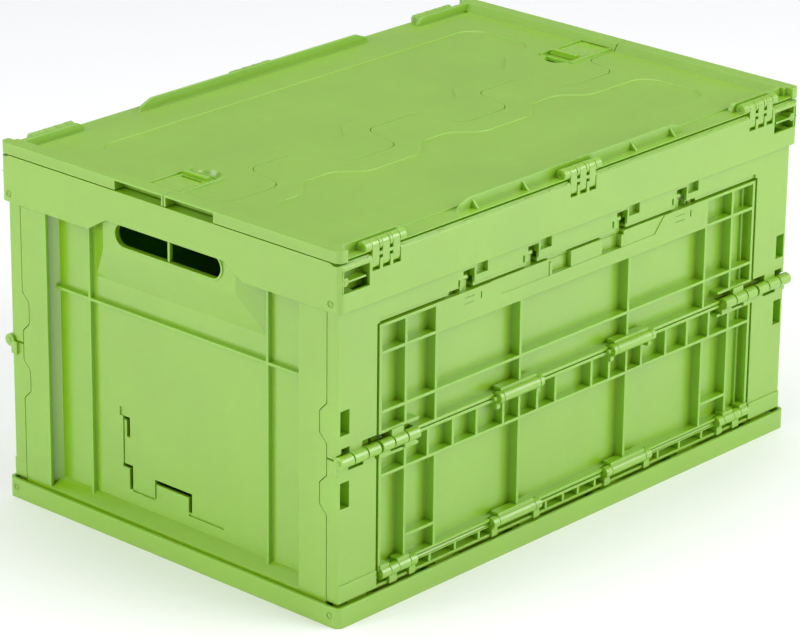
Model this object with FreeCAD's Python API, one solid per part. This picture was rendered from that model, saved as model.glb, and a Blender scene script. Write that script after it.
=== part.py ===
"""Collapsible storage crate, 600 x 400 mm, with two-part lid and a folding access door in each long side.

Millimetres. X runs along the long side, Y along the short side, Z is up.
The origin is the centre of the footprint, on the ground.
Long-side parts are drawn at the front (-Y) and end parts at the left (-X), then mirrored.
"""

import math
import os

import FreeCAD
import Part

V = FreeCAD.Vector

# Overall size
LENGTH = 600.0
WIDTH = 400.0
HALF_L = LENGTH / 2
HALF_W = WIDTH / 2
CORNER_R = 6.0
WALL = 3.0  # usual thickness of the moulding
RIB = 2.6  # thickness of a stiffening rib
GAP = 0.5  # usual clearance beside a moving part

# Heights
BASE_TOP = 18.0
FLOOR = (5.0, 8.0)
RING_LOW = 277.0
RING_TOP = 319.0
LID_LOW = 320.0
LID_PLATE_TOP = 322.4
LID_BAND_TOP = 323.6
LID_RIM_TOP = 330.0

# Side walls: the outer faces stand back from the base and the ring
FACE_Y = -195.0
FACE_X = -295.0
SIDE_DEPTH = 12.5
INNER_Y = FACE_Y + SIDE_DEPTH
PANEL_Y = INNER_Y - WALL
STRIP_X = (250.0, -FACE_X)  # the frame's upright strips, as a span of |x|
DOOR_HALF = 247.0

# Fold axes of the side walls, all along X
ROD_Y = -190.0
BASE_AXIS_Z = 10.0
MID_AXIS_Y = -197.0
MID_AXIS_Z = 147.0
TOP_AXIS_Z = 284.0
ROD_R = 2.0
ROD_HOLE_R = 2.06
COUNTERSINK_R = 3.2
COUNTERSINK_DEPTH = 0.8
FOLD_KNUCKLE_R = 4.6
MID_KNUCKLE_R = 5.4
MID_RELIEF_R = 6.4
MID_GAP = 10.5  # the strips' faces end this far above and below the middle axis
MID_SPLIT = 0.7

# Access door
DOOR_LOW = 33.0
DOOR_TOP = 253.0
DOOR_AXIS_Z = 31.5
DOOR_KNUCKLE_R = 5.2
DOOR_RELIEF_R = 6.0
DOOR_HINGE_BAY = (201.5, 249.0)  # the door halves step back here, beside their outer hinges
DOOR_HINGE_GAP = 9.5
BEAM_LOW = 255.0  # underside of the upper frame's beam above the door
BEAM_STEP_Z = 259.0
BAND_END_RIB = 178.0
MAIN_RIBS = (71.5, BAND_END_RIB, 215.0)
GROOVE_RIB = 238.0
LADDER_RIBS = (24.0, 48.0, 92.0, 126.0, 156.0, 187.0)
SILL_RIBS = (10.0, 33.0, 120.5, 151.0, 183.0)
SHORT_RIB_Z = 56.0
LADDER_Z = 119.0
UPPER_SHELF_Z = 175.5
BAND_Z = 227.5

# Knuckles on the middle axis, as spans of |x|
STRIP_KNUCKLES_LOWER = ((251.5, 265.5), (283.5, 297.5))
STRIP_KNUCKLE_UPPER = (267.0, 282.0)
DOOR_KNUCKLES_LOWER = ((235.0, 248.5), (203.5, 217.5))
DOOR_KNUCKLE_UPPER = (219.0, 233.5)
CLIP_BRACKETS = ((47.0, 51.4), (98.6, 103.0))
CLIP_BARREL = (52.0, 98.0)

# Openings in the strips, beside the crate's corners
STRIP_POCKET_X = (282.3, 293.2)
STRIP_POCKET_LOWER = (104.0, 127.5)
STRIP_POCKET_UPPER = (168.5, 190.5)
STRIP_POCKET_DEPTH = 11.0
STRIP_FOOT = (20.5, 36.0)
STRIP_FOOT_PROUD = 1.2

# Door latch: two bars behind a cover plate, reached through two finger pockets
BAND_HALF = 176.9
COVER = 2.5
SHALLOW = 0.8
SHALLOW_LOW_Z = 238.5
SHALLOW_LOW_X = (-97.0, 105.0)
SHALLOW_TOP_X = (-111.0, 119.5)
BAR_Y = (-189.2, -186.6)
BAR_Z = (236.5, 244.0)
BAR_TRAVEL = 8.0
BAR_NOSE_X = (157.0, 162.0)
BAR_NOSE_TOP = 257.0
BAR_GUIDE_X = (88.0, 128.0)
PLATE_TOP = 249.8
RIGHT_PLATE_X = (33.0, 75.0)
RIGHT_TAB_X = (59.5, 62.5)
LEFT_PLATE_X = (-75.0, -6.0)
LEFT_TAB_X = (-35.5, -32.5)
TAB_FACE_Y = -194.8
POCKETS_X = ((-36.0, -7.0), (34.0, 63.0))
MARKS_X = (-134.0, 144.0)
HOOKS_X = (-140.0, -58.5, 58.5, 140.0)
HOOK_TOP = 266.0

# End walls, hung in the ring
END_AXIS_X = -292.0
END_AXIS_Z = 303.0
END_BEAD_R = 4.4
END_LOW = 15.0
END_HALF = 181.2
RECESS_HALF = 150.0
RECESS_X = (-282.0, -279.0)
TOOTH_DEPTH = 8.0
END_RIB_Y = 106.0
END_CROSS_Z = 205.0
TOOTH_SPANS = ((96.5, 131.5), (159.5, 195.0))
END_PIN_R = 2.0
END_PIN_HOLE_R = 2.06
HANDLE_HALF = 62.5
HANDLE_Z = (269.5, 290.0)
COLLAR = 1.8
COLLAR_X = (-296.2, -291.0)
PAD_TOP = (78.0, 262.0)  # half width and lower edge of the raised pad around the hand hole
PAD_FOOT = (101.0, 228.0)  # the same where the pad runs into the recess

# Windows in the ring's corners, around the end walls' pivots
CORNER_WINDOW_Z = (293.5, 313.0)
CORNER_BACK_Y = (-188.0, -186.0)

# Lid hinge links: each pivots in the ring and carries the lid on a second axis
LINK_Y = -194.5
LINK_LOW_Z = 310.0
LINK_TOP_Z = 325.0
LINK_R = 5.0
LID_BEAD_R = 5.2
HINGE_X = (-245.0, 0.0, 245.0)
STRAP_WIDTH = 8.0
STRAP_PITCH = 12.25
LINK_HALF = STRAP_PITCH + STRAP_WIDTH / 2
HINGE_HALF = 24.0  # half length of a hinge barrel of the lid
LINK_PIN_R = 1.8
LINK_PIN_HOLE_R = 1.86

# Lid
SEAM_GAP = 1.0
SEAM_LOBES = [-232.5 + 72.5 * k for k in range(7)]  # every other lobe, from the first, reaches forwards
SEAM_FRONT_Y = -39.5
SEAM_BACK_Y = 9.0
SEAM_TIP = 31.0  # half width of a lobe at its tip
SEAM_LEAN = 10.0
SEAM_R = 14.0
FRONT_FIELD_Y = (-47.0, -68.0)  # edge of the sunk field, between the lobes and around them
BACK_FIELD_Y = (10.0, 35.0)
FIELD_LOBE = (-36.0, 30.0)
FIELD_SLOPE = 21.0
FIELD_R = 20.0
FIELD_HALF = 242.0
FIELD_END_Y = 142.0
FIELD_SLOPE_WIDTH = 1.15
LID_BORDER_Y = 180.0
LOCK_BAY_X = 200.0
LOCK_BAY_Y = 64.0
RIM_WIDTH = 14.0
RIM_SLOPE = 5.0
FINGER_HALF = 58.0
RAIL_Y = (-188.8, -186.2)
RAIL_HALF = 148.0
RAIL_SLOPE = 16.0
RAIL_TOP = 332.0
GUSSETS_X = (-129.0, -66.0, 76.0, 129.0)
CORNER_WALL_X = 216.0
CORNER_POST = 10.0
POST_SWEEP_R = 7.9  # what a corner post needs to turn about the lid's axis
LOCK_TRAVEL = 8.0
LOCK_X = (-282.0, -236.0)
LOCK_Y = (6.0, 40.0)
LOCK_THICK = 1.8
TONGUE = 5.0
TONGUE_INSET = 8.0
SCOOP_R = 15.0


# ---------------------------------------------------------------- helpers

def box(x_span, y_span, z_span):
    """Block between two values on each axis, given in either order."""
    spans = [sorted(span) for span in (x_span, y_span, z_span)]
    sizes = [high - low for low, high in spans]
    return Part.makeBox(*sizes, V(*[low for low, high in spans]))


def rod_x(x_span, y, z, radius):
    low, high = sorted(x_span)
    return Part.makeCylinder(radius, high - low, V(low, y, z), V(1, 0, 0))


def rod_y(y_span, x, z, radius):
    low, high = sorted(y_span)
    return Part.makeCylinder(radius, high - low, V(x, low, z), V(0, 1, 0))


def join(shapes):
    """One clean body out of overlapping pieces, joined one after another."""
    shapes = list(shapes)
    body = shapes[0]
    for shape in shapes[1:]:
        body = body.fuse(shape)
    return body.removeSplitter()


def cut(shape, tools):
    return shape.cut(list(tools)).removeSplitter()


def mirror_x(shape):
    return shape.mirror(V(0, 0, 0), V(1, 0, 0))


def mirror_y(shape):
    return shape.mirror(V(0, 0, 0), V(0, 1, 0))


def both_ends(shapes):
    """The pieces and their mirror images across X = 0."""
    shapes = list(shapes)
    return shapes + [mirror_x(shape) for shape in shapes]


def both_sides(shapes):
    """The pieces and their mirror images across Y = 0."""
    shapes = list(shapes)
    return shapes + [mirror_y(shape) for shape in shapes]


def middle(span):
    return (span[0] + span[1]) / 2


def widened(span, margin):
    low, high = sorted(span)
    return (low - margin, high + margin)


def prism(points, direction):
    """Solid swept from a closed outline of 3-D points."""
    wire = Part.makePolygon(points + [points[0]])
    return Part.Face(wire).extrude(direction)


def rounded_block(half_x, half_y, z_span, radius):
    """Upright block about the origin with rounded vertical corners."""
    block = box((-half_x, half_x), (-half_y, half_y), z_span)
    upright = [e for e in block.Edges if abs(e.Vertexes[0].Z - e.Vertexes[1].Z) > 1]
    return block.makeFillet(radius, upright)


def slot_y(half, z_span, x_span):
    """Long round-ended slot lying along Y, swept along X."""
    radius = (z_span[1] - z_span[0]) / 2
    z = middle(z_span)
    ends = [
        Part.makeCylinder(radius, x_span[1] - x_span[0], V(x_span[0], side * (half - radius), z), V(1, 0, 0))
        for side in (-1, 1)
    ]
    return join(ends + [box(x_span, (radius - half, half - radius), z_span)])


# ---------------------------------------------------------------- base

def frame_tab_centres():
    """Where the side frames' hinge tabs stand along X, on the base and in the ring."""
    return (-270.0, -162.0, -54.0, 54.0, 162.0, 270.0)


TAB_HALF = 11.0


def base_tray():
    """Shallow tray: rim, ribbed floor, ledges for the end walls and bosses for the hinge rods."""
    body = rounded_block(HALF_L, HALF_W, (0, BASE_TOP), CORNER_R)
    hollow = rounded_block(HALF_L - WALL, HALF_W - WALL, (FLOOR[1], BASE_TOP + 1), CORNER_R - WALL)
    columns = 8
    rows = 5
    pitch_x = (LENGTH - 2 * WALL) / columns
    pitch_y = (WIDTH - 2 * WALL) / rows
    pockets = []
    for i in range(columns):
        for j in range(rows):
            x = WALL - HALF_L + (i + 0.5) * pitch_x
            y = WALL - HALF_W + (j + 0.5) * pitch_y
            half_x = (pitch_x - WALL) / 2
            half_y = (pitch_y - WALL) / 2
            pockets.append(box((x - half_x, x + half_x), (y - half_y, y + half_y), (-1, FLOOR[0])))
    body = cut(body, [hollow] + pockets)
    ledge = box((-HALF_L + 1, RECESS_X[1]), (-178, 178), (FLOOR[0] + 1, END_LOW - 1))
    lip = box((-278, 278), (-184.4, -182), (FLOOR[0] + 1, BASE_TOP - 2))
    bosses = []
    for x in frame_tab_centres():
        for side in (-1, 1):
            near = x + side * (TAB_HALF + GAP)
            far = near + side * 8
            bosses.append(box((near, far), (-HALF_W + 1, -184), (FLOOR[0] + 1, BASE_TOP - 2.5)))
    body = join([body] + both_ends([ledge]) + both_sides([lip] + bosses))
    rod = rod_x((-HALF_L - 1, HALF_L + 1), ROD_Y, BASE_AXIS_Z, ROD_HOLE_R)
    sweeps = [
        rod_x((x - TAB_HALF - GAP, x + TAB_HALF + GAP), ROD_Y, BASE_AXIS_Z, FOLD_KNUCKLE_R + 0.6)
        for x in frame_tab_centres()
    ]
    return cut(body, both_sides([rod] + sweeps + countersinks(BASE_AXIS_Z)))


def countersinks(z):
    """Shallow round seats around the two ends of a hinge rod."""
    return both_ends([rod_x((HALF_L - COUNTERSINK_DEPTH, HALF_L + 1), ROD_Y, z, COUNTERSINK_R)])


def base_hinge_rods():
    rod = rod_x((-HALF_L + 0.4, HALF_L - 0.4), ROD_Y, BASE_AXIS_Z, ROD_R)
    return Part.makeCompound(both_sides([rod]))


def top_hinge_rods():
    rod = rod_x((-HALF_L + 0.4, HALF_L - 0.4), ROD_Y, TOP_AXIS_Z, ROD_R)
    return Part.makeCompound(both_sides([rod]))


# ---------------------------------------------------------------- side frames

def hinge_tabs(axis_z, reach_z):
    """Tabs that take a side frame's hinge rod, drilled for it."""
    tabs = []
    for x in frame_tab_centres():
        span = (x - TAB_HALF, x + TAB_HALF)
        knuckle = rod_x(span, ROD_Y, axis_z, FOLD_KNUCKLE_R)
        web = box(span, (ROD_Y - 2.5, ROD_Y + 2.5), (axis_z, reach_z))
        tabs.append(join([knuckle, web]))
    return tabs


def strip(z_span, split_z, tooth_span, pocket_span):
    """Right-hand upright of a side frame: smooth outside, ribbed channel inside, closed up to the split."""
    inner, outer = STRIP_X
    z_low, z_high = z_span
    split_span = (split_z, middle(z_span))
    closing = [
        box((outer - WALL, outer), (FACE_Y, -182), split_span),
        box(STRIP_X, (PANEL_Y, INNER_Y), split_span),
    ]
    face = box(STRIP_X, (FACE_Y, FACE_Y + WALL), z_span)
    end = box((outer - WALL, outer), (FACE_Y, -182), z_span)
    web = box((inner, inner + WALL), (FACE_Y, INNER_Y), z_span)
    tooth = tooth_prism((outer - WALL, outer), -182, -182 + TOOTH_DEPTH, tooth_span)
    cross = [
        box(STRIP_X, (FACE_Y, INNER_Y), (z, z + RIB))
        for z in (z_low, middle(z_span) - RIB / 2, z_high - RIB)
    ]
    pocket_back = FACE_Y + STRIP_POCKET_DEPTH
    walls = box((STRIP_POCKET_X[0] - 1.5, outer), (FACE_Y, pocket_back + 1.5), widened(pocket_span, 1.5))
    pocket = box(STRIP_POCKET_X, (FACE_Y - 1, pocket_back), pocket_span)
    return cut(join([face, end, web, tooth, walls] + cross + closing), [pocket])


def tooth_prism(x_span, root_y, tip_y, z_span):
    """Tooth with flanks at 45 degrees, from its root to its tip."""
    slope = abs(tip_y - root_y)
    return prism([
        V(x_span[0], root_y, z_span[0]),
        V(x_span[0], root_y, z_span[1]),
        V(x_span[0], tip_y, z_span[1] - slope),
        V(x_span[0], tip_y, z_span[0] + slope),
    ], V(x_span[1] - x_span[0], 0, 0))


def knuckle(x_span, z_reach):
    """Hinge barrel on the middle axis with the web that ties it to its frame."""
    barrel = rod_x(x_span, MID_AXIS_Y, MID_AXIS_Z, MID_KNUCKLE_R)
    web = box(x_span, (FACE_Y, FACE_Y + 7), (MID_AXIS_Z, z_reach))
    return join([barrel, web])


def lower_frame():
    """Lower half of the front side's frame: two strips and the sill under the door."""
    strip_z = (BASE_TOP + 1.5, MID_AXIS_Z - MID_GAP)
    strips = strip(strip_z, MID_AXIS_Z - MID_SPLIT, TOOTH_SPANS[0], STRIP_POCKET_LOWER)
    foot = box(STRIP_X, (FACE_Y - STRIP_FOOT_PROUD, FACE_Y + 1), STRIP_FOOT)
    barrels = [knuckle(span, MID_AXIS_Z - MID_GAP - 1) for span in STRIP_KNUCKLES_LOWER]
    sill_z = (BASE_TOP + 1.5, DOOR_LOW - 1.5)
    half = STRIP_X[0] + 1
    sill = [
        box((-half, half), (PANEL_Y, INNER_Y), sill_z),
        box((-half, half), (FACE_Y, INNER_Y), (sill_z[0], sill_z[0] + RIB)),
        box((-half, half), (FACE_Y, INNER_Y), (sill_z[1] - RIB, sill_z[1])),
    ]
    ladder = [
        box((x - RIB / 2, x + RIB / 2), (FACE_Y, INNER_Y), sill_z)
        for x in both_signs(SILL_RIBS)
    ]
    tabs = hinge_tabs(BASE_AXIS_Z, sill_z[0] + 1)
    body = join(both_ends([strips, foot] + barrels) + sill + ladder + tabs)
    door_sweeps = [
        rod_x(widened(span, GAP), FACE_Y, DOOR_AXIS_Z, DOOR_RELIEF_R)
        for span in door_sill_knuckles()
    ]
    body = cut(body, both_ends(door_sweeps))
    lugs = [
        rod_x(span, FACE_Y, DOOR_AXIS_Z, DOOR_KNUCKLE_R)
        for span in sill_lugs()
    ]
    feet = [
        box(span, (FACE_Y - 2, INNER_Y), (sill_z[0], DOOR_AXIS_Z))
        for span in sill_lugs()
    ]
    body = join([body] + both_ends(lugs + feet))
    upper_sweep = rod_x(widened(STRIP_KNUCKLE_UPPER, GAP), MID_AXIS_Y, MID_AXIS_Z, MID_RELIEF_R)
    holes = [
        rod_x((STRIP_X[0], HALF_L), MID_AXIS_Y, MID_AXIS_Z, ROD_HOLE_R),
        rod_x((40, STRIP_X[0]), FACE_Y, DOOR_AXIS_Z, ROD_HOLE_R),
        upper_sweep,
    ]
    rod = rod_x((-HALF_L, HALF_L), ROD_Y, BASE_AXIS_Z, ROD_HOLE_R)
    return cut(body, both_ends(holes) + [rod])


def door_sill_knuckles():
    """Knuckles of the door on its sill, as spans of |x|."""
    return ((52.0, 98.0), (211.0, 225.0), (235.5, 246.0))


def sill_lugs():
    """Lugs of the sill between the door's knuckles, as spans of |x|."""
    return ((44.0, 51.4), (98.6, 106.0), (203.0, 210.4), (225.6, 234.9))


def both_signs(values):
    return [sign * value for sign in (-1, 1) for value in values]


def upper_frame():
    """Upper half of the front side's frame: two strips and the beam above the door."""
    top = RING_LOW - 0.5
    strip_z = (MID_AXIS_Z + MID_GAP, top)
    strips = strip(strip_z, MID_AXIS_Z + MID_SPLIT, TOOTH_SPANS[1], STRIP_POCKET_UPPER)
    barrel = knuckle(STRIP_KNUCKLE_UPPER, MID_AXIS_Z + MID_GAP + 1)
    half = STRIP_X[0] + 1
    beam_z = (BEAM_LOW, top)
    beam = [
        box((-half, half), (FACE_Y, FACE_Y + WALL), beam_z),
        box((-half, half), (PANEL_Y, INNER_Y), beam_z),
        box((-half, half), (FACE_Y, INNER_Y), (beam_z[0], beam_z[0] + RIB)),
        box((-half, half), (FACE_Y, INNER_Y), (beam_z[1] - RIB, beam_z[1])),
    ]
    ribs = [
        box((x, x + RIB), (FACE_Y, INNER_Y), beam_z)
        for x in both_signs((24, 100, 185, 220))
    ]
    tabs = hinge_tabs(TOP_AXIS_Z, top - 1)
    body = join(both_ends([strips, barrel]) + beam + ribs + tabs)
    body = join([body] + [hook_recess(x, 1.5, top) for x in HOOKS_X])
    step = box((-DOOR_HALF, DOOR_HALF), (FACE_Y - 1, FACE_Y + 1.8), (BEAM_LOW - 1, BEAM_STEP_Z))
    hook_room = [step] + [cutter for x in HOOKS_X for cutter in hook_window(x, top)]
    nose_notch = (BAR_NOSE_X[0] - BAR_TRAVEL - GAP, BAR_NOSE_X[1] + GAP)
    cuts = [box(nose_notch, (FACE_Y - 1, BAR_Y[1] + GAP), (BEAM_LOW - 1, BAR_NOSE_TOP + 0.6))]
    for span in STRIP_KNUCKLES_LOWER:
        cuts.append(rod_x(widened(span, GAP), MID_AXIS_Y, MID_AXIS_Z, MID_RELIEF_R))
    cuts.append(rod_x((STRIP_X[0], HALF_L), MID_AXIS_Y, MID_AXIS_Z, ROD_HOLE_R))
    rod = rod_x((-HALF_L, HALF_L), ROD_Y, TOP_AXIS_Z, ROD_HOLE_R)
    return cut(body, both_ends(cuts) + hook_room + [rod])


def hook_window(x, top):
    """Room in the beam for one snap hook: its window, a slit to the left and a recess to the right."""
    return [
        box((x - 6, x + 8), (FACE_Y - 1, PANEL_Y - 0.4), (BEAM_LOW - 1, HOOK_TOP + 6)),
        box((x - 12.3, x - 9.8), (FACE_Y - 1, FACE_Y + WALL - 0.5), (BEAM_LOW + 3, BEAM_LOW + 10.5)),
        hook_recess(x, 0, top + 1),
    ]


def hook_recess(x, margin, top):
    """Recess to the right of a snap hook, or with a margin the block it is sunk in."""
    front = FACE_Y if margin else FACE_Y - 1
    return box(
        (x + 10 - margin, x + 24.5 + margin),
        (front, FACE_Y + 5 + margin),
        (BEAM_LOW + 9.8 - margin, top),
    )


def side_mid_pins():
    """Four short pins that join the lower and upper frames."""
    pin = rod_x((250.6, 298.0), MID_AXIS_Y, MID_AXIS_Z, ROD_R)
    return Part.makeCompound(both_sides(both_ends([pin])))


# ---------------------------------------------------------------- access door

def door_shell(z_span, shelves):
    """Inner panel with a rim, upright ribs and the given shelves, open to the outside."""
    z_low, z_high = z_span
    depth = (FACE_Y, INNER_Y)
    panel = box((-DOOR_HALF, DOOR_HALF), (PANEL_Y, INNER_Y), z_span)
    edges = [
        box((-DOOR_HALF, DOOR_HALF), depth, (z_low, z_low + RIB)),
        box((-DOOR_HALF, DOOR_HALF), depth, (z_high - RIB, z_high)),
    ]
    uprights = [box((DOOR_HALF - WALL, DOOR_HALF), depth, z_span)]
    uprights += [box((x - RIB / 2, x + RIB / 2), depth, z_span) for x in MAIN_RIBS]
    uprights.append(box((GROOVE_RIB, GROOVE_RIB + 1.6), (PANEL_Y - 2.5, INNER_Y), z_span))
    floors = [
        box((-DOOR_HALF, DOOR_HALF), depth, (z - RIB / 2, z + RIB / 2))
        for z in shelves
    ]
    return join([panel] + edges + both_ends(uprights) + floors)


def hinge_bay(side):
    """Room beside an outer hinge of the door, above (+1) or below (-1) the middle axis."""
    return box(
        DOOR_HINGE_BAY,
        (FACE_Y - 1, PANEL_Y),
        (MID_AXIS_Z, MID_AXIS_Z + side * DOOR_HINGE_GAP),
    )


def hinge_bay_edge(side):
    """Edge of the door around that room."""
    near = MID_AXIS_Z + side * DOOR_HINGE_GAP
    return box((DOOR_HINGE_BAY[0] - RIB, DOOR_HALF), (FACE_Y, INNER_Y), (near, near + side * RIB))


def door_lower():
    """Lower half of the access door, hinged on the sill."""
    top = MID_AXIS_Z - 0.7
    shell = door_shell((DOOR_LOW, top), (LADDER_Z,))
    ladder = [
        box((x - RIB / 2, x + RIB / 2), (FACE_Y, INNER_Y), (LADDER_Z, top))
        for x in LADDER_RIBS
    ]
    row = box(
        (BAND_END_RIB - RIB, BAND_END_RIB + RIB),
        (FACE_Y - 1, PANEL_Y),
        (LADDER_Z + RIB / 2, top - RIB),
    )
    shell = cut(shell, both_ends([row, hinge_bay(-1)]))
    short = box((BAND_END_RIB, 215), (FACE_Y, INNER_Y), (SHORT_RIB_Z - RIB / 2, SHORT_RIB_Z + RIB / 2))
    body = join([shell] + both_ends(ladder + [short, hinge_bay_edge(-1)]))
    sweeps = [
        rod_x(widened(span, GAP), MID_AXIS_Y, MID_AXIS_Z, MID_RELIEF_R)
        for span in (DOOR_KNUCKLE_UPPER, CLIP_BARREL)
    ]
    sweeps += [
        rod_x(widened(span, GAP), FACE_Y, DOOR_AXIS_Z, DOOR_RELIEF_R)
        for span in sill_lugs()
    ]
    body = cut(body, both_ends(sweeps))
    barrels = [
        join([
            rod_x(span, MID_AXIS_Y, MID_AXIS_Z, MID_KNUCKLE_R),
            box(span, (MID_AXIS_Y, FACE_Y + 7), (MID_AXIS_Z - DOOR_HINGE_GAP - 1, MID_AXIS_Z)),
        ])
        for span in DOOR_KNUCKLES_LOWER + CLIP_BRACKETS
    ]
    sills = [
        join([
            rod_x(span, FACE_Y, DOOR_AXIS_Z, DOOR_KNUCKLE_R),
            box(span, (FACE_Y - 2, FACE_Y + 7), (DOOR_AXIS_Z, DOOR_LOW + 6)),
        ])
        for span in door_sill_knuckles()
    ]
    body = join([body] + both_ends(barrels + sills))
    pins = [
        rod_x((40, STRIP_X[0]), MID_AXIS_Y, MID_AXIS_Z, ROD_HOLE_R),
        rod_x((40, STRIP_X[0]), FACE_Y, DOOR_AXIS_Z, ROD_HOLE_R),
    ]
    return cut(body, both_ends(pins))


def door_upper():
    """Upper half of the access door, with the latch cover, bar guides and snap hooks."""
    low = MID_AXIS_Z + 0.7
    shell = door_shell((low, DOOR_TOP), (UPPER_SHELF_Z, BAND_Z))
    shell = cut(shell, [latch_room()] + both_ends([hinge_bay(1)]))
    band_z = (BAND_Z, DOOR_TOP)
    cover = box((-BAND_HALF, BAND_HALF), (FACE_Y, FACE_Y + COVER), band_z)
    band_end = box((BAND_HALF - RIB, BAND_HALF), (FACE_Y, INNER_Y), band_z)
    pocket_walls = [
        box(widened(span, 2), (FACE_Y, BAR_Y[0] - GAP), (SHALLOW_LOW_Z - 2, DOOR_TOP))
        for span in POCKETS_X
    ]
    hooks = [snap_hook(x) for x in HOOKS_X]
    ends = both_ends([band_end, hinge_bay_edge(1)] + bar_guides())
    body = join([shell, cover] + pocket_walls + ends + hooks)
    notch = box(
        (BAR_NOSE_X[0] - BAR_TRAVEL - GAP, BAR_NOSE_X[1] + GAP),
        (BAR_Y[0] - GAP, BAR_Y[1] + GAP),
        (DOOR_TOP - RIB - 1, DOOR_TOP + 1),
    )
    sweeps = [notch] + [
        rod_x(widened(span, GAP), MID_AXIS_Y, MID_AXIS_Z, MID_RELIEF_R)
        for span in DOOR_KNUCKLES_LOWER + CLIP_BRACKETS
    ]
    body = cut(body, both_ends(sweeps) + cover_cuts())
    barrels = [
        join([
            rod_x(span, MID_AXIS_Y, MID_AXIS_Z, MID_KNUCKLE_R),
            box(span, (MID_AXIS_Y, FACE_Y + 7), (MID_AXIS_Z, MID_AXIS_Z + reach)),
        ])
        for span, reach in ((DOOR_KNUCKLE_UPPER, DOOR_HINGE_GAP + 1), (CLIP_BARREL, 7.5))
    ]
    body = join([body] + both_ends(barrels))
    pin = rod_x((40, STRIP_X[0]), MID_AXIS_Y, MID_AXIS_Z, ROD_HOLE_R)
    return cut(body, both_ends([pin]))


def latch_room():
    """Hollow of the door behind the latch cover."""
    inner = BAND_HALF - RIB
    return box((-inner, inner), (FACE_Y - 1, PANEL_Y), (BAND_Z + RIB / 2, DOOR_TOP - RIB))


def bar_guides():
    """Guides of the right-hand latch bar: a rib below it, a rib above it and a keeper in front."""
    depth = (FACE_Y + COVER - 0.5, INNER_Y)
    below = (BAR_Z[0] - GAP - 2, BAR_Z[0] - GAP)
    above = (BAR_Z[1] + GAP, BAR_Z[1] + GAP + 2)
    keeper_x = (BAR_GUIDE_X[0], BAR_GUIDE_X[0] + 6)
    return [
        box(BAR_GUIDE_X, depth, below),
        box(BAR_GUIDE_X, depth, above),
        box(keeper_x, (depth[0], BAR_Y[0] - GAP), (below[0], above[1])),
    ]


def cover_cuts():
    """Shallow middle of the latch cover, its two finger pockets and the engraved marks."""
    front = FACE_Y - 1
    over = DOOR_TOP + 1
    shallow = prism([
        V(SHALLOW_LOW_X[0], front, SHALLOW_LOW_Z),
        V(SHALLOW_LOW_X[1], front, SHALLOW_LOW_Z),
        V(SHALLOW_TOP_X[1], front, over),
        V(SHALLOW_TOP_X[0], front, over),
    ], V(0, 1 + SHALLOW, 0))
    pockets = [box(span, (front, BAR_Y[0] - GAP + 0.1), (SHALLOW_LOW_Z, over)) for span in POCKETS_X]
    marks = []
    for x in MARKS_X:
        marks += [box((x - 10, x + 2), (front, FACE_Y + SHALLOW), (z, z + 0.9)) for z in (241.8, 247.1)]
        marks.append(box((x + 10.2, x + 11.8), (front, FACE_Y + 1.6), (242.5, 248.3)))
    return [shallow] + pockets + marks


def snap_hook(x):
    """Springy finger on the door's top edge that stands in the beam's window."""
    head_r = 2.4
    stem = box((x - 4, x + 4), (FACE_Y + 5.7, FACE_Y + 8.4), (DOOR_TOP - RIB, HOOK_TOP - head_r))
    head = rod_x((x - 4, x + 4), FACE_Y + 6.2, HOOK_TOP - head_r, head_r)
    return join([stem, head])


def door_mid_pins():
    """Pins between the two halves of the front door."""
    outer = rod_x((203.0, 249.0), MID_AXIS_Y, MID_AXIS_Z, ROD_R)
    clip = rod_x((42.5, 107.5), MID_AXIS_Y, MID_AXIS_Z, ROD_R)
    return Part.makeCompound(both_ends([outer, clip]))


def door_sill_pins():
    """Pins that hang both doors on their sills."""
    outer = rod_x((202.5, 246.5), FACE_Y, DOOR_AXIS_Z, ROD_R)
    clip = rod_x((43.5, 106.5), FACE_Y, DOOR_AXIS_Z, ROD_R)
    return Part.makeCompound(both_sides(both_ends([outer, clip])))


def latch_bar(plate_x, tab_x, side):
    """Latch bar of the front door: finger plate with its tab, bar and upturned nose at the given side."""
    nose_x = [side * x for x in BAR_NOSE_X]
    plate = box(plate_x, BAR_Y, (BAR_Z[0], PLATE_TOP))
    tab = box(tab_x, (TAB_FACE_Y, BAR_Y[1]), (SHALLOW_LOW_Z + GAP, PLATE_TOP))
    bar = box((middle(plate_x), nose_x[1]), BAR_Y, BAR_Z)
    nose = box(nose_x, BAR_Y, (BAR_Z[0], BAR_NOSE_TOP))
    return join([plate, tab, bar, nose])


# ---------------------------------------------------------------- end walls

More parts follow.
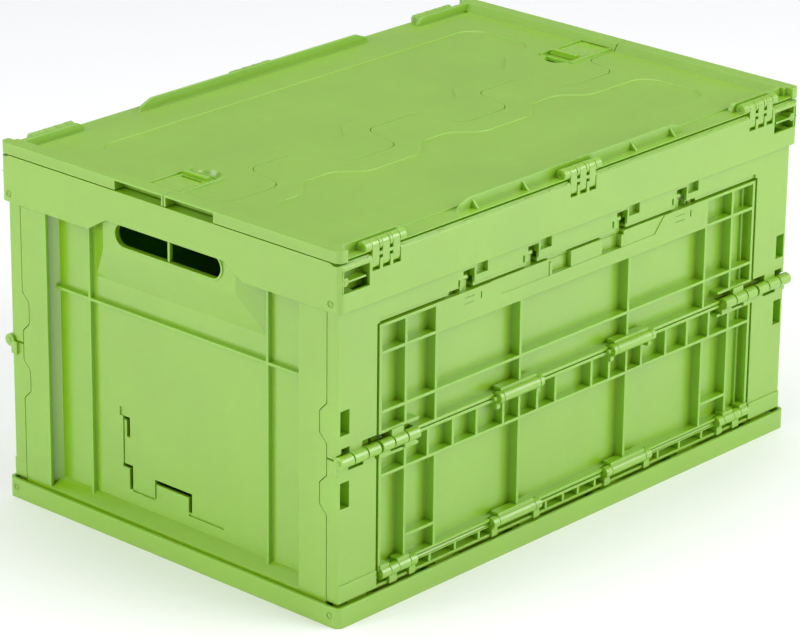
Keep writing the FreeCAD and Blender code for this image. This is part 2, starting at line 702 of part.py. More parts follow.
def end_wall():
    """Left end wall: flat margins, recessed middle, collared hand hole and a top bead to pivot on."""
    face = (FACE_X, FACE_X + WALL)
    sheet = (RECESS_X[0], RECESS_X[1])
    well = (FACE_X, RECESS_X[1])
    top = END_AXIS_Z - 11
    side_y = (RECESS_HALF, END_HALF)
    margin = box(face, side_y, (END_LOW, END_AXIS_Z))
    step = prism([
        V(face[0], RECESS_HALF + 12, END_LOW),
        V(face[1] + 2, RECESS_HALF + 12, END_LOW),
        V(sheet[1], RECESS_HALF, END_LOW),
        V(sheet[1], RECESS_HALF - WALL, END_LOW),
        V(sheet[0], RECESS_HALF - WALL, END_LOW),
        V(face[0], RECESS_HALF + 8, END_LOW),
    ], V(0, 0, END_AXIS_Z - 4 - END_LOW))
    notches = [
        tooth_prism(
            (FACE_X - 1, FACE_X + WALL + 0.6),
            END_HALF + 1,
            END_HALF - TOOTH_DEPTH,
            widened(span, 1.2),
        )
        for span in TOOTH_SPANS
    ]
    panel = box(sheet, (-RECESS_HALF, RECESS_HALF), (END_LOW + 11, top))
    ledge = prism([
        V(sheet[0], -RECESS_HALF, END_LOW + 13),
        V(face[0], -RECESS_HALF, END_LOW + 5),
        V(face[0], -RECESS_HALF, END_LOW),
        V(face[1], -RECESS_HALF, END_LOW),
        V(face[1], -RECESS_HALF, END_LOW + 3),
        V(sheet[1], -RECESS_HALF, END_LOW + 11),
    ], V(0, 2 * RECESS_HALF, 0))
    head = box(face, (-END_HALF, END_HALF), (top, END_AXIS_Z))
    shelf = box(well, (-RECESS_HALF, RECESS_HALF), (top, top + WALL))
    bead = rod_y((-END_HALF, END_HALF), END_AXIS_X, END_AXIS_Z, END_BEAD_R)
    rib_depth = (sheet[0] - 4.5, sheet[0] + 1)
    uprights = [
        box(rib_depth, (y - RIB / 2, y + RIB / 2), (END_LOW + 6, top + 1))
        for y in (-END_RIB_Y, END_RIB_Y)
    ]
    cross = box(rib_depth, (-RECESS_HALF + 3, RECESS_HALF - 3), (END_CROSS_Z, END_CROSS_Z + RIB))
    collar = slot_y(HANDLE_HALF + COLLAR, widened(HANDLE_Z, COLLAR), COLLAR_X)
    body = join([panel, ledge, head, shelf, bead, cross, hand_pad(0)] + uprights + both_sides([margin, step]))
    body = join([cut(body, [hand_pad(WALL)]), collar])
    hand_hole = slot_y(HANDLE_HALF, HANDLE_Z, (COLLAR_X[0] - 1, RECESS_X[1] + 1))
    pin_hole = rod_y((160, END_HALF + 1), END_AXIS_X, END_AXIS_Z, END_PIN_HOLE_R)
    body = cut(body, [hand_hole] + both_sides(notches + [pin_hole]) + tongue_slits())
    divider = box((FACE_X + 0.5, COLLAR_X[1]), (-1.2, 1.2), widened(HANDLE_Z, 1))
    return join([body, divider])


def hand_pad(inset):
    """Raised pad around the hand hole, running softly down into the recess; inset gives its hollow back."""
    top = END_AXIS_Z - 11
    outlines = []
    for x, (half, low) in ((FACE_X + inset, PAD_TOP), (RECESS_X[0] + inset, PAD_FOOT)):
        points = [V(x, -half, low), V(x, half, low), V(x, half, top), V(x, -half, top)]
        outlines.append(Part.makePolygon(points + [points[0]]))
    return Part.makeLoft(outlines, True, True)


def tongue_slits():
    """Slits that free the springy locking tongue low in the end wall, and the grooves that join them."""
    through = (RECESS_X[0] - 6, RECESS_X[1] + 1)
    half_deep = (RECESS_X[0] - 6, middle(RECESS_X))
    upper_slit = [
        box(through, (63, 67), (89, 107)),
        box(through, (63, 71.5), (104, 107.5)),
    ]
    lower_slit = [
        box(through, (60, 64), (41, 62)),
        box(through, (60, 72), (60, 63.5)),
    ]
    finger_slit = [
        box(through, (-9, 33), (54.5, 58.8)),
        box(through, (-12, -8), (41, 58.8)),
    ]
    grooves = [
        box(half_deep, (69.5, 71.5), (63.5, 104)),
        box(half_deep, (71.5, 75.5), (107, 115)),
        box(half_deep, (31, 33), (41, 54.5)),
        box(half_deep, (33, 60), (39.5, 41.5)),
        box(half_deep, (-50, -8), (37.5, 39.5)),
    ]
    return upper_slit + lower_slit + finger_slit + grooves


def end_wall_pins():
    """Four pins that hang the end walls in the ring."""
    pin = rod_y((164, HALF_W - 0.8), END_AXIS_X, END_AXIS_Z, END_PIN_R)
    return Part.makeCompound(both_sides(both_ends([pin])))


# ---------------------------------------------------------------- top ring

def strap_spans(centre):
    """X spans of one hinge link's three straps."""
    return [
        (centre + k * STRAP_PITCH - STRAP_WIDTH / 2, centre + k * STRAP_PITCH + STRAP_WIDTH / 2)
        for k in (-1, 0, 1)
    ]


def ring_outer():
    """Outside of the ring, with its outer top edge bevelled so that the lids can roll over it."""
    body = rounded_block(HALF_L, HALF_W, (RING_LOW, RING_TOP), CORNER_R)
    bevel = 3.0
    wedge = prism([
        V(-HALF_L - 1, -HALF_W - 1, RING_TOP + 1),
        V(-HALF_L - 1, -HALF_W - 1, RING_TOP - bevel - 1),
        V(-HALF_L - 1, -HALF_W + bevel + 1, RING_TOP + 1),
    ], V(LENGTH + 2, 0, 0))
    return cut(body, both_sides([wedge]))


def top_frame():
    """The rigid ring that carries the side frames, the end walls and the lids."""
    inner_wall_y = (-185.2, -182.6)
    skirt_void = rounded_block(HALF_L - WALL, HALF_W - WALL, (RING_LOW - 1, RING_TOP - WALL), CORNER_R - WALL)
    mouth = box((-284, 284), (inner_wall_y[1], -inner_wall_y[1]), (RING_LOW - 1, RING_TOP + 1))
    body = cut(ring_outer(), [skirt_void, mouth])
    inner_wall = box((-284, 284), inner_wall_y, (RING_LOW + 15, RING_TOP - 1))
    bosses = []
    for x in frame_tab_centres():
        for side in (-1, 1):
            near = x + side * (TAB_HALF + GAP)
            span = (near, near + side * 8)
            bosses.append(box(span, (-HALF_W + 1, inner_wall_y[1]), (TOP_AXIS_Z - 4.5, RING_TOP - 1)))
    boss_half = LINK_HALF + 5
    for x in HINGE_X:
        boss_x = (x - boss_half, x + boss_half)
        bosses.append(box(boss_x, (-HALF_W + 1, -188), (LINK_LOW_Z - 6.5, RING_TOP - 1)))
    body = join([body] + both_sides([inner_wall] + bosses))
    hand_notch = prism([
        V(-HALF_L - 1, -92, RING_LOW - 0.1),
        V(-HALF_L - 1, -70, RING_LOW + 13),
        V(-HALF_L - 1, 70, RING_LOW + 13),
        V(-HALF_L - 1, 92, RING_LOW - 0.1),
    ], V(WALL + 2, 0, 0))
    long_cuts = [rod_x((-HALF_L - 1, HALF_L + 1), ROD_Y, TOP_AXIS_Z, ROD_HOLE_R)]
    post_room_x = (HALF_L - CORNER_POST - GAP, HALF_L + 1)
    long_cuts += both_ends([rod_x(post_room_x, LINK_Y, LINK_TOP_Z, POST_SWEEP_R)])
    for x in HINGE_X:
        long_cuts.append(rod_x((x - LINK_HALF - 4, x + LINK_HALF + 4), LINK_Y, LINK_LOW_Z, LINK_PIN_HOLE_R))
        for span in strap_spans(x):
            slot_y_span = (-HALF_W - 1, LINK_Y + LINK_R + 0.6)
            long_cuts.append(box(widened(span, GAP), slot_y_span, (LINK_LOW_Z - 5.6, RING_TOP + 1)))
        groove_x = (x - LINK_HALF, x + LINK_HALF)
        long_cuts.append(box(groove_x, (-HALF_W - 1, LINK_Y - 2), (LINK_LOW_Z + 3.5, RING_TOP + 1)))
    window = box((-296.5, -264.7), (-HALF_W - 1, CORNER_BACK_Y[0]), CORNER_WINDOW_Z)
    body = cut(body, both_ends([hand_notch]) + both_sides(long_cuts + countersinks(TOP_AXIS_Z)))
    body = cut(body, both_sides(both_ends([window])))
    body = join([body] + both_sides(both_ends(corner_window())))
    pin_hole = rod_y((-HALF_W - 1, -182), END_AXIS_X, END_AXIS_Z, END_PIN_HOLE_R)
    return cut(body, both_sides(both_ends([pin_hole])))


def corner_window():
    """Inside of the window at the ring's front left corner: back, rib, thin wall and the end wall's pivot."""
    depth = (-HALF_W + 1, CORNER_BACK_Y[1])
    thin_wall_x = -294.7
    return [
        box((-298.5, -262), CORNER_BACK_Y, widened(CORNER_WINDOW_Z, 3)),
        box((-298.5, -268), depth, (END_AXIS_Z - 1.2, END_AXIS_Z + 0.4)),
        box((thin_wall_x - 0.7, thin_wall_x + 0.7), depth, widened(CORNER_WINDOW_Z, 0.5)),
        rod_y((-HALF_W + 1, -183), END_AXIS_X, END_AXIS_Z, 3.6),
    ]


# ---------------------------------------------------------------- lids

def lid_link_set():
    """The three hinge links of the front lid, each three straps and a cross bar."""
    links = []
    for x in HINGE_X:
        pieces = []
        for span in strap_spans(x):
            pieces.append(rod_x(span, LINK_Y, LINK_LOW_Z, LINK_R))
            pieces.append(rod_x(span, LINK_Y, LINK_TOP_Z, LINK_R))
            pieces.append(box(span, (LINK_Y - LINK_R, LINK_Y + LINK_R), (LINK_LOW_Z, LINK_TOP_Z)))
        whole = (strap_spans(x)[0][0], strap_spans(x)[-1][1])
        pieces.append(box(whole, (LINK_Y - LINK_R, LINK_Y - 2.8), (LINK_LOW_Z + 6.2, LINK_LOW_Z + 9)))
        link = join(pieces)
        holes = [rod_x(widened(whole, 1), LINK_Y, z, LINK_PIN_HOLE_R) for z in (LINK_LOW_Z, LINK_TOP_Z)]
        links.append(cut(link, holes))
    return Part.makeCompound(links)


def link_pins(z, half):
    """One set of three pins for the front lid's links."""
    return Part.makeCompound([rod_x((x - half, x + half), LINK_Y, z, LINK_PIN_R) for x in HINGE_X])


def seam_corners(side):
    """Corners of the wavy seam from left to right; side is -1 for the back lid, which is drawn mirrored."""
    corners = [(-HALF_L, 0.0), (SEAM_LOBES[0] - SEAM_TIP - SEAM_LEAN * 0.8, 0.0)]
    for k, x in enumerate(SEAM_LOBES):
        y = SEAM_FRONT_Y if k % 2 == 0 else SEAM_BACK_Y
        corners += [(x - SEAM_TIP, y), (x + SEAM_TIP, y)]
    corners += [(SEAM_LOBES[-1] + SEAM_TIP + SEAM_LEAN * 0.8, 0.0), (HALF_L, 0.0)]
    return [(x, side * y) for x, y in corners]


def field_corners(side):
    """Corners of the sunk field's edge: it follows the seam's lobes, and on the back lid also the locks."""
    base, bulge = FRONT_FIELD_Y if side > 0 else BACK_FIELD_Y
    start, stop = FIELD_LOBE
    corners = []
    for x in SEAM_LOBES[(1 - side) // 2::2]:
        corners += [
            (x + start - FIELD_SLOPE, base),
            (x + start, bulge),
            (x + stop, bulge),
            (x + stop + FIELD_SLOPE, base),
        ]
    if side > 0:
        corners = [(-FIELD_HALF, bulge)] + corners[2:-2] + [(FIELD_HALF, bulge)]
    else:
        turn = LOCK_BAY_X - 1.2 * (LOCK_BAY_Y - bulge)
        left = [(-FIELD_HALF, LOCK_BAY_Y), (-LOCK_BAY_X, LOCK_BAY_Y), (-turn, bulge)]
        corners = left + corners[2:-2] + [(-x, y) for x, y in reversed(left)]
    far_y = -FIELD_END_Y if side > 0 else FIELD_END_Y
    corners = [(0.0, far_y), (-FIELD_HALF, far_y)] + corners + [(FIELD_HALF, far_y), (0.0, far_y)]
    return [(x, side * y) for x, y in corners]


def rounded_path(corners, radius, z):
    """Edges of an open path with an arc at each inner corner."""
    edges = []
    start = V(corners[0][0], corners[0][1], z)
    for before, here, after in zip(corners, corners[1:], corners[2:]):
        corner = V(here[0], here[1], z)
        back = (V(before[0], before[1], z) - corner).normalize()
        onward = (V(after[0], after[1], z) - corner).normalize()
        half_angle = back.getAngle(onward) / 2
        reach = radius / math.tan(half_angle)
        centre = corner + (back + onward).normalize() * (radius / math.sin(half_angle))
        first = corner + back * reach
        last = corner + onward * reach
        mid = centre + (corner - centre).normalize() * radius
        edges.append(Part.LineSegment(start, first).toShape())
        edges.append(Part.Arc(first, mid, last).toShape())
        start = last
    edges.append(Part.LineSegment(start, V(corners[-1][0], corners[-1][1], z)).toShape())
    return edges


def slab_under(corners, radius, far_y, z_span):
    """Slab between a rounded path and the straight line at far_y."""
    z_low, z_high = z_span
    path = rounded_path(corners, radius, z_low)
    first, last = corners[0], corners[-1]
    closing = [
        V(last[0], last[1], z_low),
        V(last[0], far_y, z_low),
        V(first[0], far_y, z_low),
        V(first[0], first[1], z_low),
    ]
    sides = [
        Part.LineSegment(a, b).toShape()
        for a, b in zip(closing, closing[1:])
        if a.distanceToPoint(b) > 0.01
    ]
    return Part.Face(Part.Wire(path + sides)).extrude(V(0, 0, z_high - z_low))


def sunk_field(side):
    """Cutter for the sunk field, with a sloped edge all around."""
    grown = FIELD_SLOPE_WIDTH
    stretch = (FIELD_HALF + grown) / FIELD_HALF
    corners = [
        (x * stretch, y + grown if y > -FIELD_END_Y else y - grown)
        for x, y in field_corners(side)
    ]
    slab = slab_under(corners, FIELD_R, -FIELD_END_Y - grown, (LID_PLATE_TOP, LID_RIM_TOP))
    foot = [e for e in slab.Edges if all(abs(v.Z - LID_PLATE_TOP) < 0.01 for v in e.Vertexes)]
    return slab.makeChamfer(grown, foot)


def lid_edge():
    """Front lid's outer edge: round-bottomed lip, hinge barrels, corner posts and walls, stacking rail."""
    bead = (LINK_Y, LINK_TOP_Z)
    lip = rod_x((-HALF_L, HALF_L), *bead, LID_BEAD_R)
    lip = lip.common(box((-HALF_L, HALF_L), (-HALF_W - 1, LINK_Y + 1), (LID_LOW - 1, LID_PLATE_TOP)))
    pieces = [lip] + stacking_rail()
    for x in HINGE_X:
        span = (x - HINGE_HALF, x + HINGE_HALF)
        pieces.append(rod_x(span, *bead, LID_BEAD_R))
        pieces.append(box(span, (LINK_Y, RAIL_Y[0] + 1), (LID_LOW, LINK_TOP_Z)))
    post_x = (HALF_L - CORNER_POST, HALF_L)
    post = box(post_x, (LINK_Y - LID_BEAD_R, RAIL_Y[1]), (LID_LOW, LID_RIM_TOP))
    return pieces + both_ends([post, corner_wall()])


def corner_wall():
    """Right-hand wall behind the corner hinge, rounded off at its inner end."""
    wall = box((CORNER_WALL_X, HALF_L), (RAIL_Y[0], RAIL_Y[0] + 4.5), (LID_LOW, LID_RIM_TOP))
    return wall.makeFillet(LID_RIM_TOP - LID_PLATE_TOP - 0.2, edges_at(wall, CORNER_WALL_X, LID_RIM_TOP))


def edges_at(shape, x, z):
    """Edges along Y at the given place."""
    return [edge for edge in shape.Edges if all(abs(v.X - x) + abs(v.Z - z) < 0.01 for v in edge.Vertexes)]


def stacking_rail():
    """Stacking rail of the front lid: one upright wall with sloped, rounded ends, and its gussets."""
    low = LID_PLATE_TOP - 0.5
    outline = [
        (RAIL_HALF, low),
        (RAIL_HALF - 0.25 * RAIL_SLOPE, middle((low, RAIL_TOP)) + 0.5),
        (RAIL_HALF - RAIL_SLOPE, RAIL_TOP),
    ]
    outline += [(-x, z) for x, z in reversed(outline)]
    wall = prism([V(x, RAIL_Y[0], z) for x, z in outline], V(0, RAIL_Y[1] - RAIL_Y[0], 0))
    bends = [edge for x, z in outline[1:-1] for edge in edges_at(wall, x, z)]
    wall = wall.makeFillet(6, bends)
    gussets = [
        prism([
            V(x - 1.1, RAIL_Y[0] + 0.5, low),
            V(x - 1.1, RAIL_Y[0] + 0.5, RAIL_TOP - 2),
            V(x - 1.1, RAIL_Y[0] - 7.5, low),
        ], V(2.2, 0, 0))
        for x in GUSSETS_X
    ]
    return [wall] + gussets


def finger_notch():
    """Room for the fingers under the left end rim of the front lid, beside the seam."""
    x_span = (-HALF_L - 1, -HALF_L + RIM_WIDTH - 2.4)
    return box(x_span, (-FINGER_HALF, -2.6), (LID_LOW - 1, LID_RIM_TOP - 1.8))


def lid_rims():
    """End rims of the front lid with their sloped inner sides."""
    stop = -SEAM_GAP / 2
    rim = box((-HALF_L, -HALF_L + RIM_WIDTH), (LINK_Y + 2, stop), (LID_LOW, LID_RIM_TOP))
    inner_x = -HALF_L + RIM_WIDTH
    slope = prism([
        V(inner_x - 1, LINK_Y + 8, LID_BAND_TOP - 0.5),
        V(inner_x - 1, LINK_Y + 8, LID_RIM_TOP),
        V(inner_x, LINK_Y + 8, LID_RIM_TOP),
        V(inner_x + RIM_SLOPE, LINK_Y + 8, LID_BAND_TOP),
        V(inner_x + RIM_SLOPE, LINK_Y + 8, LID_BAND_TOP - 0.5),
    ], V(0, stop - LINK_Y - 8, 0))
    return both_ends([rim, slope])


def lid_half(side):
    """A lid half drawn at the front, with its slots for the hinge links; side is -1 for the back lid."""
    edge = [(x, y - SEAM_GAP / 2) for x, y in seam_corners(side)]
    body = slab_under(edge, SEAM_R, LINK_Y, (LID_LOW, LID_BAND_TOP))
    border = box((-HALF_L, HALF_L), (LINK_Y - 10, -LID_BORDER_Y), (LID_PLATE_TOP, LID_RIM_TOP))
    body = join([cut(body, [border, sunk_field(side)])] + lid_edge() + lid_rims())
    body = cut(body, both_ends([finger_notch()]))
    cuts = []
    for x in HINGE_X:
        cuts.append(rod_x((x - HINGE_HALF - 1, x + HINGE_HALF + 1), LINK_Y, LINK_TOP_Z, LINK_PIN_HOLE_R))
        for span in strap_spans(x):
            slot = widened(span, GAP)
            cuts.append(rod_x(slot, LINK_Y, LINK_TOP_Z, LINK_R + 0.6))
            cuts.append(box(slot, (-HALF_W - 2, LINK_Y + LINK_R + 0.6), (LID_LOW - 1, LID_RIM_TOP + 4)))
    corner = rounded_block(HALF_L, HALF_W, (LID_LOW - 2, LID_RIM_TOP + 10), CORNER_R)
    return cut(body, cuts).common(corner)


def lock_guides():
    """Rails, stop and finger scoop of the left lid lock, on the back lid."""
    x_low, x_high = LOCK_X
    guides = []
    for y, side in ((LOCK_Y[0], -1), (LOCK_Y[1], 1)):
        guides.append(box(
            (x_low, x_high + LOCK_TRAVEL + 4),
            (y + side * GAP, y + side * 3),
            (LID_LOW + 1, LID_BAND_TOP + 1.8),
        ))
    x = x_high + LOCK_TRAVEL + 2
    y = middle(LOCK_Y)
    low = LID_LOW - 2.2
    shell = Part.makeCylinder(SCOOP_R + 2.5, LID_BAND_TOP - low, V(x, y, low))
    bowl = Part.makeCone(SCOOP_R - 5, SCOOP_R, LID_RIM_TOP - LID_LOW, V(x, y, LID_LOW - 0.6))
    half = box((x, x + 30), (y - 30, y + 30), (low - 1, LID_RIM_TOP + 2))
    return guides, shell.common(half), bowl.common(half)


def front_lid():
    return lid_half(1)


def back_lid():
    """Back half of the lid, shaped by the other side of the seam, with the two lock seats."""
    body = mirror_y(lid_half(-1))
    guides, scoop, bowl = lock_guides()
    body = join([body] + both_ends(guides + [scoop]))
    seat = box(
        (LOCK_X[0] - GAP, LOCK_X[1] + LOCK_TRAVEL + 1),
        (LOCK_Y[0] - GAP, LOCK_Y[1] + GAP),
        (LID_PLATE_TOP - 0.2, LID_RIM_TOP),
    )
    slot = box(
        (LOCK_X[0] - TONGUE - GAP, LOCK_X[0]),
        widened(LOCK_Y, GAP - TONGUE_INSET),
        (LID_PLATE_TOP - 0.2, LID_PLATE_TOP + LOCK_THICK + GAP),
    )
    return cut(body, both_ends([seat, slot, bowl]))


def lid_lock():
    """Left lid lock: sliding plate with a finger bar and a tongue that enters the end rim."""
    x_low, x_high = LOCK_X
    z_low = LID_PLATE_TOP
    plate = box((x_low, x_high), LOCK_Y, (z_low, z_low + LOCK_THICK))
    tongue = box((x_low - TONGUE, x_low + 2), widened(LOCK_Y, -TONGUE_INSET), (z_low, z_low + LOCK_THICK))
    bar = box((x_high - 5, x_high), (LOCK_Y[0] + 3, LOCK_Y[1] - 3), (z_low, z_low + 5))
    window = box((x_high - 10, x_high - 6.5), (LOCK_Y[0] + 5, LOCK_Y[1] - 5), (z_low - 1, z_low + 3))
    return cut(join([plate, tongue, bar]), [window])


# ---------------------------------------------------------------- the crate

def nodes():
    """Every separate piece of the crate by name."""
    parts = {
        "base_tray": base_tray(),
        "base_hinge_rods": base_hinge_rods(),
        "top_hinge_rods": top_hinge_rods(),
        "side_mid_pins": side_mid_pins(),
        "door_sill_pins": door_sill_pins(),
        "top_frame": top_frame(),
        "end_wall_pins": end_wall_pins(),
    }
    pair = {
        "side_lower_frame": lower_frame(),
        "side_upper_frame": upper_frame(),
        "door_lower": door_lower(),
        "door_upper": door_upper(),
        "door_mid_pins": door_mid_pins(),
        "lid_links": lid_link_set(),
        "lid_link_ring_pins": link_pins(LINK_LOW_Z, LINK_HALF + 3.5),
        "lid_link_lid_pins": link_pins(LINK_TOP_Z, HINGE_HALF - 0.5),
    }
    for name, shape in pair.items():
        parts[name + "_front"] = shape
        parts[name + "_back"] = mirror_y(shape)
    wall = end_wall()
    parts["end_wall_left"] = wall
    parts["end_wall_right"] = mirror_x(wall)
    bars = {
        "right": latch_bar(RIGHT_PLATE_X, RIGHT_TAB_X, 1),
        "left": latch_bar(LEFT_PLATE_X, LEFT_TAB_X, -1),
    }
    for name, bar in bars.items():
        parts["latch_bar_front_" + name] = bar
        parts["latch_bar_back_" + name] = mirror_y(bar)
    parts["lid_front"] = front_lid()
    parts["lid_back"] = back_lid()
    lock = lid_lock()
    parts["lid_lock_left"] = lock
    parts["lid_lock_right"] = mirror_x(lock)
    return parts


def main():
    os.makedirs("parts", exist_ok=True)
    for name, shape in nodes().items():
        shape.exportStep("parts/" + name + ".step")


main()
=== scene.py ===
"""Looks of the green folding crate: finishes, rounded edges, small moulded details, studio and camera."""

import math

import bpy
from mathutils import Matrix, Vector

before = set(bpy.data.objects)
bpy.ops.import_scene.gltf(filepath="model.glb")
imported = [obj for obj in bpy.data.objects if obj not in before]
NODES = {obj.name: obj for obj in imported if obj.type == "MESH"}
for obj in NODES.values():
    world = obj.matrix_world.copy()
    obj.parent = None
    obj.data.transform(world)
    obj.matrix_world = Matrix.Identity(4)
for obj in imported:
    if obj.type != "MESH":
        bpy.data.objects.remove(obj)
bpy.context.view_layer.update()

# camera, found from the crate's known outer sizes
CAMERA_AIM = Vector((-0.04816, -0.03562, 0.160))
CAMERA_DISTANCE = 3.4378
CAMERA_BEARING = math.radians(-137.665)
CAMERA_HEIGHT = math.radians(21.247)
CAMERA_ROLL = math.radians(0.612)
SENSOR_WIDTH = 36.0
LENS = 176.5

FLOOR_HALF = 20.0
CRATE_MIDDLE = Vector((0.0, 0.0, 0.16))

# linear colour of the plastic, and how softly its edges are rounded, in metres
GREEN = (0.234, 0.462, 0.010)
EDGE_RADIUS = 0.0007
EDGE_SAMPLES = 6

# share of the light that travels inside the plastic, how far in metres, and how far each colour gets
SHINE_THROUGH = 0.45
SHINE_DEPTH = 0.005
SHINE_COLOURS = (0.35, 1.0, 0.08)

# how the plastic's surface mirrors
PLASTIC_IOR = 1.7
PLASTIC_MIRRORING = 0.85

# colours and strengths of the studio
WORLD_COLOUR = (0.97, 0.985, 1.0, 1.0)
WORLD_STRENGTH = 0.46
FLOOR_DARK = (0.955, 0.955, 0.965)
FLOOR_LIGHT = (0.975, 0.975, 0.985)


# ---------------------------------------------------------------- material helpers

def add_node(tree, kind, **values):
    """Adds a node. A value goes to the input of that name, or to the node's own property."""
    made = tree.nodes.new(kind)
    for name, value in values.items():
        if hasattr(made, name):
            setattr(made, name, value)
        else:
            made.inputs[name.replace("_", " ")].default_value = value
    return made


def wire(tree, output, target):
    tree.links.new(output, target)


def noise(tree, where, scale, detail=2.0, roughness=0.5):
    """Noise whose scale is in lumps per metre. Returns its value output."""
    made = add_node(tree, "ShaderNodeTexNoise")
    made.inputs["Scale"].default_value = scale
    made.inputs["Detail"].default_value = detail
    made.inputs["Roughness"].default_value = roughness
    wire(tree, where, made.inputs["Vector"])
    return made.outputs["Fac"]


def spread(tree, value, low_in, high_in, low_out, high_out):
    """Maps one range of a value onto another, clamped."""
    made = add_node(tree, "ShaderNodeMapRange", interpolation_type="SMOOTHSTEP")
    for name, number in (
        ("From Min", low_in), ("From Max", high_in), ("To Min", low_out), ("To Max", high_out),
    ):
        made.inputs[name].default_value = number
    wire(tree, value, made.inputs["Value"])
    return made.outputs["Result"]


def maths(tree, operation, first, second):
    made = add_node(tree, "ShaderNodeMath", operation=operation)
    for socket, value in zip(made.inputs, (first, second)):
        if isinstance(value, bpy.types.NodeSocket):
            wire(tree, value, socket)
        else:
            socket.default_value = value
    return made.outputs["Value"]


def mixed_colour(tree, share, first, second):
    """Colour between two colours or colour outputs."""
    made = add_node(tree, "ShaderNodeMix", data_type="RGBA")
    wire(tree, share, made.inputs["Factor"])
    for socket, value in zip((made.inputs[6], made.inputs[7]), (first, second)):
        if isinstance(value, bpy.types.NodeSocket):
            wire(tree, value, socket)
        else:
            socket.default_value = (*value, 1.0)
    return made.outputs[2]


def stretched(tree, where, scale):
    """Texture place squeezed by a different amount along each axis."""
    made = add_node(tree, "ShaderNodeMapping")
    made.inputs["Scale"].default_value = scale
    wire(tree, where, made.inputs["Vector"])
    return made.outputs["Vector"]


def rounded_edges(tree):
    """Normal that runs softly over every moulded edge."""
    made = add_node(tree, "ShaderNodeBevel", samples=EDGE_SAMPLES)
    made.inputs["Radius"].default_value = EDGE_RADIUS
    return made.outputs["Normal"]


def bumped(tree, height, depth, below):
    """Bump whose height of 1 stands depth metres proud, on top of another normal."""
    made = add_node(tree, "ShaderNodeBump")
    made.inputs["Strength"].default_value = 1.0
    made.inputs["Distance"].default_value = depth
    wire(tree, height, made.inputs["Height"])
    wire(tree, below, made.inputs["Normal"])
    return made.outputs["Normal"]


def lighter(colour, factor):
    return tuple(min(1.0, channel * factor) for channel in colour)


def moulded_plastic(name, colour, gloss, grain_size, grain_depth, scuffs, flow=(1.0, 1.0, 1.0)):
    """Green moulded polypropylene: cloudy colour, flow marks, fine grain and light scuffs."""
    material = bpy.data.materials.new(name)
    material.use_nodes = True
    tree = material.node_tree
    shader = tree.nodes["Principled BSDF"]
    where = add_node(tree, "ShaderNodeTexCoord").outputs["Object"]

    cloud = noise(tree, where, 11.0, 3.0)
    streaks = noise(tree, stretched(tree, where, flow), 55.0, 2.0)
    tint = mixed_colour(
        tree, spread(tree, cloud, 0.3, 0.7, 0.0, 1.0), lighter(colour, 0.965), lighter(colour, 1.03),
    )
    tint = mixed_colour(tree, spread(tree, streaks, 0.45, 0.75, 0.0, 0.25), tint, lighter(colour, 0.93))
    scratch = noise(tree, stretched(tree, where, (30.0, 420.0, 260.0)), 4.0, 3.0, 0.6)
    scratch_mask = spread(tree, scratch, 0.64, 0.70, 0.0, scuffs)
    patch = spread(tree, noise(tree, where, 17.0), 0.45, 0.62, 0.0, 1.0)
    worn = maths(tree, "MULTIPLY", scratch_mask, patch)
    tint = mixed_colour(tree, maths(tree, "MULTIPLY", worn, 0.1), tint, lighter(colour, 1.15))
    wire(tree, tint, shader.inputs["Base Color"])

    rough = spread(tree, noise(tree, where, 38.0, 4.0), 0.3, 0.7, gloss - 0.015, gloss + 0.025)
    rough = maths(tree, "ADD", rough, maths(tree, "MULTIPLY", worn, 0.08))
    wire(tree, rough, shader.inputs["Roughness"])

    waves = bumped(tree, noise(tree, where, 16.0, 1.0), 0.00016, rounded_edges(tree))
    peel = bumped(tree, noise(tree, where, 220.0, 2.0), 0.00006, waves)
    grain = bumped(tree, noise(tree, where, grain_size, 3.0, 0.6), grain_depth, peel)
    wire(tree, grain, shader.inputs["Normal"])
    shader.inputs["Subsurface Weight"].default_value = SHINE_THROUGH
    shader.inputs["Subsurface Radius"].default_value = SHINE_COLOURS
    shader.inputs["Subsurface Scale"].default_value = SHINE_DEPTH
    shader.inputs["IOR"].default_value = PLASTIC_IOR
    shader.inputs["Specular IOR Level"].default_value = PLASTIC_MIRRORING
    return material


def frame_plastic():
    """Base, side frames and top ring: satin, with a fine spark-eroded grain."""
    return moulded_plastic("frame_green", GREEN, 0.30, 2400.0, 0.00002, 0.2, (1.0, 1.0, 0.12))


def door_plastic():
    """Folding long sides: satin like the frames, with upright flow marks."""
    return moulded_plastic("door_green", GREEN, 0.30, 2200.0, 0.00002, 0.2, (1.0, 1.0, 0.10))


def end_wall_plastic():
    """Hinged end walls: smoother and glossier than the frames."""
    return moulded_plastic("end_wall_green", GREEN, 0.24, 2600.0, 0.000012, 0.15, (1.0, 1.0, 0.10))


def lid_plastic():
    """Lid halves: an even matt grain, with rubbed marks where crates are stacked, and a colour painted
    darker as shade on the top.
    """
    # the 0.96 darkening of the green is painted shade: the lid top is made darker than the walls to stand in
    # for how light falls on it
    return moulded_plastic("lid_green_painted_shade", lighter(GREEN, 0.96), 0.36, 1900.0, 0.00003, 0.25, (0.12, 1.0, 1.0))


def link_plastic():
    """Hinge links of the lid: tougher, slightly glossier plastic."""
    return moulded_plastic("link_green", GREEN, 0.27, 2600.0, 0.000015, 0.15)


def latch_plastic():
    """Latch bars and lid locks: slippery, glossier plastic."""
    return moulded_plastic("latch_green", lighter(GREEN, 1.02), 0.25, 2600.0, 0.000012, 0.2)


def pin_plastic():
    """Hinge pins and rods."""
    return moulded_plastic("pin_green", lighter(GREEN, 0.97), 0.38, 2600.0, 0.00002, 0.2)


FINISHES = {
    "frame_plastic": frame_plastic,
    "door_plastic": door_plastic,
    "end_wall_plastic": end_wall_plastic,
    "lid_plastic": lid_plastic,
    "link_plastic": link_plastic,
    "latch_plastic": latch_plastic,
    "hinge_pins": pin_plastic,
}


def finish_nodes():
    """Gives every CAD node the finish of its material slot."""
    made = {name: make() for name, make in FINISHES.items()}
    for node in NODES.values():
        for slot in node.material_slots:
            slot.material = made[slot.material.name]


# ---------------------------------------------------------------- studio

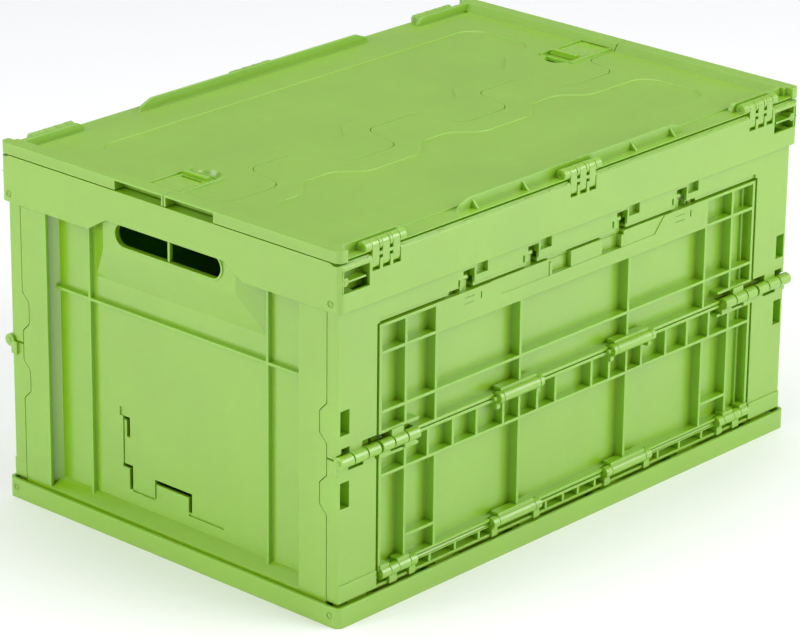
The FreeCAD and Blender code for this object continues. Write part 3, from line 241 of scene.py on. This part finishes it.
def floor_finish():
    material = bpy.data.materials.new("pale_floor")
    material.use_nodes = True
    tree = material.node_tree
    shader = tree.nodes["Principled BSDF"]
    where = add_node(tree, "ShaderNodeTexCoord").outputs["Object"]
    cloud = noise(tree, where, 1.5, 2.0)
    wire(tree, mixed_colour(tree, cloud, FLOOR_DARK, FLOOR_LIGHT), shader.inputs["Base Color"])
    shader.inputs["Roughness"].default_value = 0.6
    shader.inputs["Specular IOR Level"].default_value = 0.2
    return material


def floor():
    mesh = bpy.data.meshes.new("floor")
    half = FLOOR_HALF
    mesh.from_pydata(
        [(-half, -half, 0.0), (half, -half, 0.0), (half, half, 0.0), (-half, half, 0.0)], [], [(0, 1, 2, 3)],
    )
    made = bpy.data.objects.new("floor", mesh)
    bpy.context.scene.collection.objects.link(made)
    mesh.materials.append(floor_finish())


def on_sphere(centre, distance, bearing, height):
    """Point at a distance from a centre, in a direction given by bearing and height."""
    return centre + distance * Vector((
        math.cos(height) * math.cos(bearing),
        math.cos(height) * math.sin(bearing),
        math.sin(height),
    ))


def soft_light(name, bearing, height, distance, size, power):
    """Square softbox facing the crate. Angles are in degrees."""
    data = bpy.data.lights.new(name, "AREA")
    data.size = size
    data.energy = power
    made = bpy.data.objects.new(name, data)
    bpy.context.scene.collection.objects.link(made)
    made.location = on_sphere(CRATE_MIDDLE, distance, math.radians(bearing), math.radians(height))
    made.rotation_euler = (CRATE_MIDDLE - made.location).to_track_quat("-Z", "Y").to_euler()


def studio():
    world = bpy.data.worlds.new("studio")
    bpy.context.scene.world = world
    world.use_nodes = True
    world.node_tree.nodes["Background"].inputs["Color"].default_value = WORLD_COLOUR
    world.node_tree.nodes["Background"].inputs["Strength"].default_value = WORLD_STRENGTH
    soft_light("left_light", 168.0, 24.0, 3.2, 2.4, 54.0)
    soft_light("front_light", -62.0, 28.0, 3.2, 2.4, 69.0)
    soft_light("top_light", 60.0, 80.0, 3.0, 3.0, 41.0)
    bpy.context.scene.view_settings.view_transform = "Standard"


def camera():
    """Camera at the viewing angle, with its small roll."""
    data = bpy.data.cameras.new("camera")
    data.sensor_width = SENSOR_WIDTH
    data.lens = LENS
    made = bpy.data.objects.new("camera", data)
    bpy.context.scene.collection.objects.link(made)
    place = on_sphere(CAMERA_AIM, CAMERA_DISTANCE, CAMERA_BEARING, CAMERA_HEIGHT)
    level = (CAMERA_AIM - place).to_track_quat("-Z", "Y").to_matrix().to_4x4()
    made.matrix_world = Matrix.Translation(place) @ level @ Matrix.Rotation(CAMERA_ROLL, 4, "Z")
    bpy.context.scene.camera = made


# ---------------------------------------------------------------- the scene

finish_nodes()
floor()
studio()
camera()
